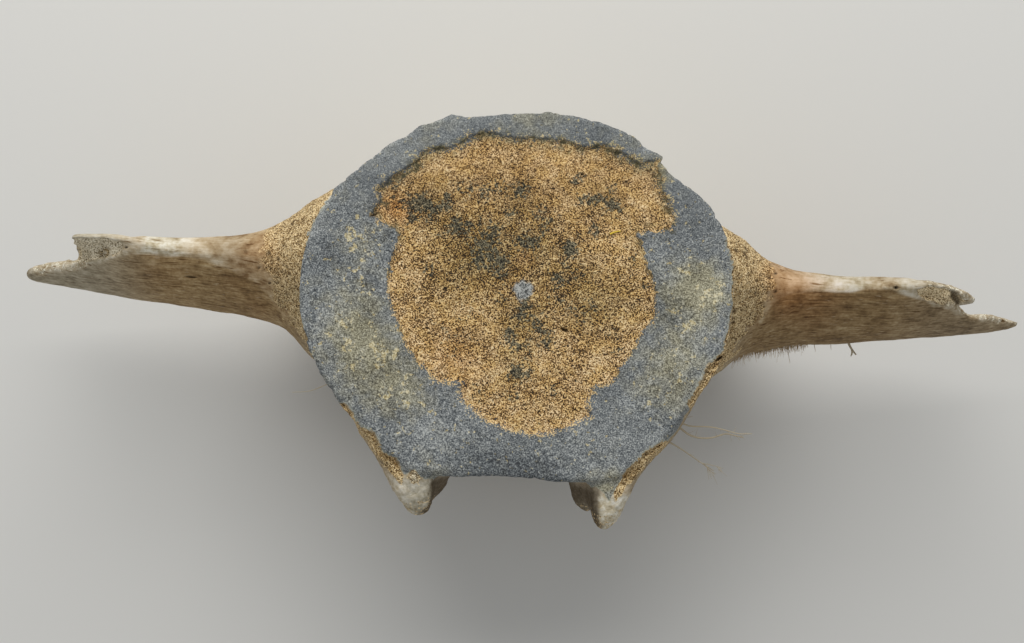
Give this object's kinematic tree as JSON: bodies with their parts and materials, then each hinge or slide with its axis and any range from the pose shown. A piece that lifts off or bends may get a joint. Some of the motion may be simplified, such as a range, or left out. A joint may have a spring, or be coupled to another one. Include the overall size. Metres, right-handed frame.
{
  "type": "whale vertebra",
  "caption": "Weathered trunk vertebra of a large baleen whale, with broken side processes and the stumps of its neural arch, lying with its head-side face up.",
  "frame": {"origin": "where the axis of the notochord meets the flat tail-side face of the centrum, which lies on the floor", "axes": "+Z from the tail-side face towards the head-side face, +X towards the animal's right side, +Y towards its belly; the stumps of the neural arch point along -Y"},
  "size_m": [0.6795, 0.2733, 0.2],
  "materials": {
    "centrum_bone": "matte",
    "head_side_face": "matte",
    "tail_side_face": "matte",
    "process_bone": "matte",
    "arch_bone": "matte"
  },
  "bodies": {
    "root": {"centrum_body": "centrum_bone", "end_plate_cranial": "head_side_face", "end_plate_caudal": "tail_side_face", "transverse_process_left": "process_bone", "transverse_process_right": "process_bone", "pedicle_left": "arch_bone", "pedicle_right": "arch_bone"}
  },
  "joints": []
}
